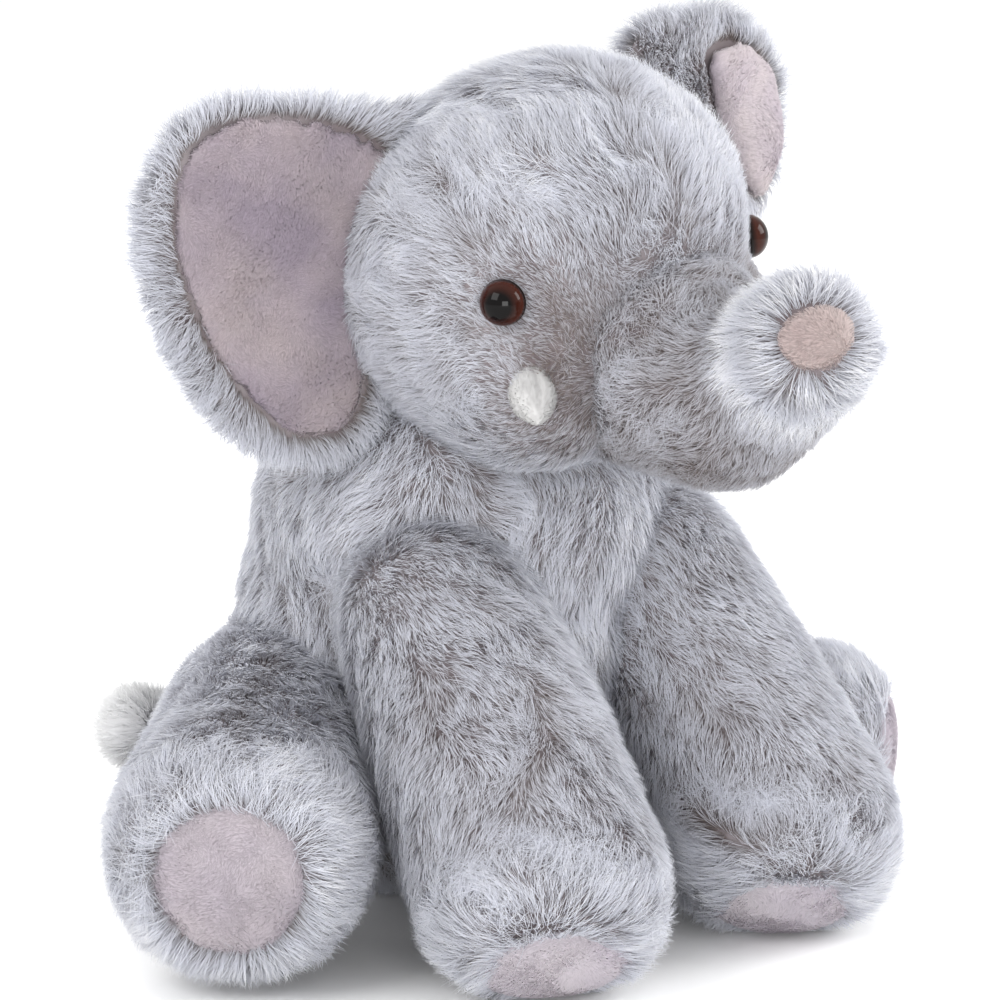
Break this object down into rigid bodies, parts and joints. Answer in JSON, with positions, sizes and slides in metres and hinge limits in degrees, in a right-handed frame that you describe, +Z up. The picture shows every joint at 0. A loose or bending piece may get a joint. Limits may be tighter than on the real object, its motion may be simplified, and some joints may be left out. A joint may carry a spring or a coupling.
{
  "type": "stuffed elephant",
  "caption": "Seated plush elephant with long grey fur, large ears with pink lining, curled-up trunk, white tusks, glossy eyes and a short pile pad on each foot.",
  "frame": {"origin": "middle of the flat seat under the rump, on the surface it sits on", "axes": "+Z up, -Y the way the face looks, +X to the elephant's own left"},
  "size_m": [0.2663, 0.2348, 0.2447],
  "materials": {
    "pile_fur": "long frosted faux-fur pile, grey with near-white tips",
    "tuft_fur": "long white faux-fur pile",
    "short_pile": "short brushed velboa pile in mauve-pink",
    "stuffing": "loose white polyester fibre",
    "pellet_cloth": "woven bag of plastic pellets",
    "eye_plastic": "polished black dome with a brown iris",
    "washer_plastic": "moulded white",
    "tusk_felt": "short white brushed plush"
  },
  "bodies": {
    "torso": {"torso_skin": "pile_fur", "torso_stuffing": "stuffing", "pellet_bag": "pellet_cloth"},
    "neck": {"neck_stuffing": "stuffing"},
    "head": {"head_skin": "pile_fur", "head_stuffing": "stuffing", "eye_right": "eye_plastic", "eye_left": "eye_plastic", "eye_washer_right": "washer_plastic", "eye_washer_left": "washer_plastic", "tusk_right": "tusk_felt", "tusk_left": "tusk_felt"},
    "trunk": {"trunk_skin": "pile_fur", "trunk_stuffing": "stuffing", "nostril_patch": "short_pile"},
    "ear_right": {"ear_right_back": "pile_fur", "ear_right_lining": "short_pile"},
    "front_leg_right": {"front_leg_right_skin": "pile_fur", "front_leg_right_stuffing": "stuffing", "front_leg_right_sole_pad": "short_pile"},
    "hind_leg_right": {"hind_leg_right_skin": "pile_fur", "hind_leg_right_stuffing": "stuffing", "hind_leg_right_sole_pad": "short_pile"},
    "ear_left": {"ear_left_back": "pile_fur", "ear_left_lining": "short_pile"},
    "front_leg_left": {"front_leg_left_skin": "pile_fur", "front_leg_left_stuffing": "stuffing", "front_leg_left_sole_pad": "short_pile"},
    "hind_leg_left": {"hind_leg_left_skin": "pile_fur", "hind_leg_left_stuffing": "stuffing", "hind_leg_left_sole_pad": "short_pile"},
    "tail": {"tail_skin": "pile_fur", "tail_tuft": "tuft_fur"}
  },
  "joints": [
    {"name": "neck_turn", "type": "hinge", "parent": "torso", "child": "neck", "pos_m": [0, -0.03587, 0.1417], "axis": [0, -0.276, 0.9611], "range_deg": [-25, 25], "stiffness_Nm_per_rad": 3},
    {"name": "head_nod", "type": "hinge", "parent": "neck", "child": "head", "pos_m": [0, -0.03587, 0.1417], "axis": [-1, 0, 0], "range_deg": [-8, 8], "stiffness_Nm_per_rad": 6},
    {"name": "trunk_lift", "type": "hinge", "parent": "head", "child": "trunk", "pos_m": [0.00394, -0.08985, 0.16408], "axis": [-0.9949, -0.052, -0.087], "range_deg": [-10, 18], "stiffness_Nm_per_rad": 1.5},
    {"name": "ear_right_flap", "type": "hinge", "parent": "head", "child": "ear_right", "pos_m": [-0.05576, -0.03159, 0.18322], "axis": [0.087, 0.005, -0.9962], "range_deg": [-12, 12], "stiffness_Nm_per_rad": 0.4},
    {"name": "ear_left_flap", "type": "hinge", "parent": "head", "child": "ear_left", "pos_m": [0.0538, -0.02569, 0.19282], "axis": [-0.087, -0.005, 0.9962], "range_deg": [-12, 12], "stiffness_Nm_per_rad": 0.4},
    {"name": "front_leg_right_lift", "type": "hinge", "parent": "torso", "child": "front_leg_right", "pos_m": [-0.038, -0.046, 0.092], "axis": [-1, 0, 0], "range_deg": [0, 30], "stiffness_Nm_per_rad": 3},
    {"name": "front_leg_left_lift", "type": "hinge", "parent": "torso", "child": "front_leg_left", "pos_m": [0.038, -0.046, 0.092], "axis": [-1, 0, 0], "range_deg": [0, 30], "stiffness_Nm_per_rad": 3},
    {"name": "hind_leg_right_splay", "type": "hinge", "parent": "torso", "child": "hind_leg_right", "pos_m": [-0.052, 0.004, 0.048], "axis": [0, 0, -1], "range_deg": [0, 25], "stiffness_Nm_per_rad": 3},
    {"name": "hind_leg_left_splay", "type": "hinge", "parent": "torso", "child": "hind_leg_left", "pos_m": [0.052, 0.004, 0.048], "axis": [0, 0, 1], "range_deg": [0, 25], "stiffness_Nm_per_rad": 3},
    {"name": "tail_swing", "type": "hinge", "parent": "torso", "child": "tail", "pos_m": [0, 0.0665, 0.05], "axis": [0, 0, 1], "range_deg": [-30, 6], "stiffness_Nm_per_rad": 0.1}
  ]
}
